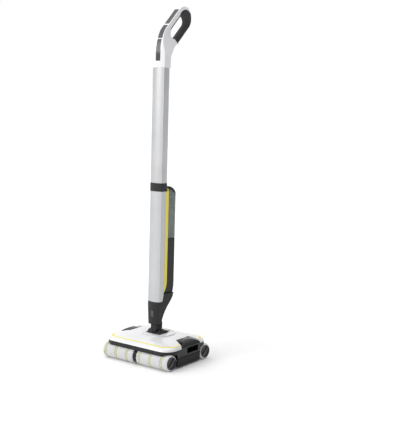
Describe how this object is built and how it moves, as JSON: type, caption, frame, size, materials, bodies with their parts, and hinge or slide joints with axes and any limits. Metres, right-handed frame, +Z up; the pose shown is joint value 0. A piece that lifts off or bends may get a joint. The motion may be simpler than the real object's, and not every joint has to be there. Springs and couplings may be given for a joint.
{
  "type": "cordless roller floor cleaner",
  "caption": "Upright battery floor cleaner: a leaning stick with a D-shaped grip and water tank over a wide head with counter-turning plush rollers.",
  "frame": {"origin": "on the floor, midway between the four rollers", "axes": "+X to the machine's left-hand side seen from the front, so the front faces -Y; +Z up"},
  "size_m": [0.3, 0.3089, 1.2231],
  "materials": {
    "white_shell": "smooth satin white",
    "yellow_trim": "satin yellow",
    "aluminium_tube": "fine satin anodised",
    "dark_shell": "fine matt texture",
    "frame_plastic": "matt moulded",
    "smoked_plastic": "gloss smoked",
    "clear_plastic": "clear with a grey tint",
    "pile": "short plush with yellow stripes",
    "roller_plastic": "moulded grey",
    "cap_plastic": "dark grey moulded",
    "gear_plastic": "natural acetal",
    "steel": "ground steel",
    "brass": "turned",
    "soft_rubber": "soft touch",
    "key_rubber": "soft touch key",
    "display": "gloss dark window",
    "board": "solder-masked board",
    "battery": "shrink wrap",
    "inner_plastic": "moulded"
  },
  "bodies": {
    "head": {"chassis_frame": "frame_plastic", "gearbox_cover": "frame_plastic", "idler_pins": "steel", "tilt_pins": "steel", "drive_motor": "steel", "water_bars": "inner_plastic", "wiper_lips": "soft_rubber", "chassis_screws": "steel", "bumper_band": "dark_shell", "head_cover": "white_shell", "cover_inlay": "yellow_trim", "joint_plate": "white_shell"},
    "front_drive": {"front_drive_shaft": "steel"},
    "rear_drive": {"rear_drive_shaft": "steel"},
    "pinion": {"motor_pinion": "brass"},
    "idler_1": {"idler_gear_1": "gear_plastic"},
    "idler_2": {"idler_gear_2": "gear_plastic"},
    "idler_3": {"idler_gear_3": "gear_plastic"},
    "idler_4": {"idler_gear_4": "gear_plastic"},
    "front_left_roller": {"front_left_sleeve": "pile", "front_left_core": "roller_plastic", "front_left_cap": "cap_plastic"},
    "front_right_roller": {"front_right_sleeve": "pile", "front_right_core": "roller_plastic", "front_right_cap": "cap_plastic"},
    "rear_left_roller": {"rear_left_sleeve": "pile", "rear_left_core": "roller_plastic", "rear_left_cap": "cap_plastic"},
    "rear_right_roller": {"rear_right_sleeve": "pile", "rear_right_core": "roller_plastic", "rear_right_cap": "cap_plastic"},
    "left_dirty_tank": {"left_tank_tray": "frame_plastic", "left_tank_grip": "smoked_plastic"},
    "right_dirty_tank": {"right_tank_tray": "frame_plastic", "right_tank_grip": "smoked_plastic"},
    "yoke": {"joint_yoke": "dark_shell"},
    "stick": {"foot_housing": "dark_shell", "steer_pin": "steel", "lower_tube": "aluminium_tube", "upper_tube": "aluminium_tube", "tube_collar": "dark_shell", "tube_coupler": "dark_shell", "side_trim": "yellow_trim", "battery_housing": "dark_shell", "battery_pack": "battery", "control_board": "board", "water_pump": "inner_plastic", "water_hose": "soft_rubber", "charge_socket": "brass", "handle_left": "white_shell", "handle_right": "white_shell", "handle_screws": "steel", "grip_inlay": "soft_rubber", "display_lens": "display"},
    "fresh_tank": {"fresh_tank": "clear_plastic", "tank_valve": "soft_rubber"},
    "fresh_cap": {"fresh_tank_cap": "dark_shell"},
    "power_key": {"power_button": "key_rubber"},
    "boost_key": {"boost_button": "key_rubber"},
    "release_key": {"release_button": "key_rubber"}
  },
  "joints": [
    {"name": "front_drive_spin", "type": "hinge", "parent": "head", "child": "front_drive", "pos_m": [0, -0.092, 0.0275], "axis": [1, 0, 0], "continuous": true},
    {"name": "rear_drive_spin", "type": "hinge", "parent": "head", "child": "rear_drive", "pos_m": [0, 0.092, 0.0275], "axis": [1, 0, 0], "continuous": true},
    {"name": "pinion_spin", "type": "hinge", "parent": "head", "child": "pinion", "pos_m": [0, -0.04187, 0.05753], "axis": [1, 0, 0], "continuous": true},
    {"name": "idler_1_spin", "type": "hinge", "parent": "head", "child": "idler_1", "pos_m": [0, -0.05574, 0.0335], "axis": [1, 0, 0], "continuous": true},
    {"name": "idler_2_spin", "type": "hinge", "parent": "head", "child": "idler_2", "pos_m": [0, -0.01875, 0.02738], "axis": [1, 0, 0], "continuous": true},
    {"name": "idler_3_spin", "type": "hinge", "parent": "head", "child": "idler_3", "pos_m": [0, 0.01825, 0.0335], "axis": [1, 0, 0], "continuous": true},
    {"name": "idler_4_spin", "type": "hinge", "parent": "head", "child": "idler_4", "pos_m": [0, 0.05525, 0.02738], "axis": [1, 0, 0], "continuous": true},
    {"name": "front_left_pull_off", "type": "slide", "parent": "front_drive", "child": "front_left_roller", "axis": [-1, 0, 0], "range_m": [0, 0.07]},
    {"name": "front_right_pull_off", "type": "slide", "parent": "front_drive", "child": "front_right_roller", "axis": [1, 0, 0], "range_m": [0, 0.07]},
    {"name": "rear_left_pull_off", "type": "slide", "parent": "rear_drive", "child": "rear_left_roller", "axis": [-1, 0, 0], "range_m": [0, 0.07]},
    {"name": "rear_right_pull_off", "type": "slide", "parent": "rear_drive", "child": "rear_right_roller", "axis": [1, 0, 0], "range_m": [0, 0.07]},
    {"name": "left_tank_slide", "type": "slide", "parent": "head", "child": "left_dirty_tank", "axis": [-1, 0, 0], "range_m": [0, 0.16]},
    {"name": "right_tank_slide", "type": "slide", "parent": "head", "child": "right_dirty_tank", "axis": [1, 0, 0], "range_m": [0, 0.16]},
    {"name": "stick_tilt", "type": "hinge", "parent": "head", "child": "yoke", "pos_m": [0, 0.007, 0.08], "axis": [-1, 0, 0], "range_deg": [0, 55]},
    {"name": "stick_steer", "type": "hinge", "parent": "yoke", "child": "stick", "pos_m": [0, 0.007, 0.108], "axis": [0, 0.999, -0.0443], "range_deg": [-40, 40]},
    {"name": "fresh_tank_slide", "type": "slide", "parent": "stick", "child": "fresh_tank", "axis": [0, 0.999, -0.0443], "range_m": [0, 0.08]},
    {"name": "fresh_cap_lift", "type": "slide", "parent": "fresh_tank", "child": "fresh_cap", "axis": [0, 0.0443, 0.999], "range_m": [0, 0.04]},
    {"name": "power_press", "type": "slide", "parent": "stick", "child": "power_key", "axis": [0, 0.9097, -0.4153], "range_m": [0, 0.0012], "stiffness_N_per_m": 1200, "springref_m": -0.0008},
    {"name": "boost_press", "type": "slide", "parent": "stick", "child": "boost_key", "axis": [0, 0.6751, -0.7377], "range_m": [0, 0.0012], "stiffness_N_per_m": 1200, "springref_m": -0.0008},
    {"name": "release_press", "type": "slide", "parent": "stick", "child": "release_key", "axis": [0, 0.999, -0.0443], "range_m": [0, 0.0015], "stiffness_N_per_m": 1200, "springref_m": -0.0008}
  ],
  "couplings": [
    {"joint": "rear_drive_spin", "follows": "front_drive_spin", "ratio": -1},
    {"joint": "pinion_spin", "follows": "front_drive_spin", "ratio": 2},
    {"joint": "idler_1_spin", "follows": "front_drive_spin", "ratio": -0.96},
    {"joint": "idler_2_spin", "follows": "front_drive_spin", "ratio": 0.96},
    {"joint": "idler_3_spin", "follows": "front_drive_spin", "ratio": -0.96},
    {"joint": "idler_4_spin", "follows": "front_drive_spin", "ratio": 0.96}
  ]
}
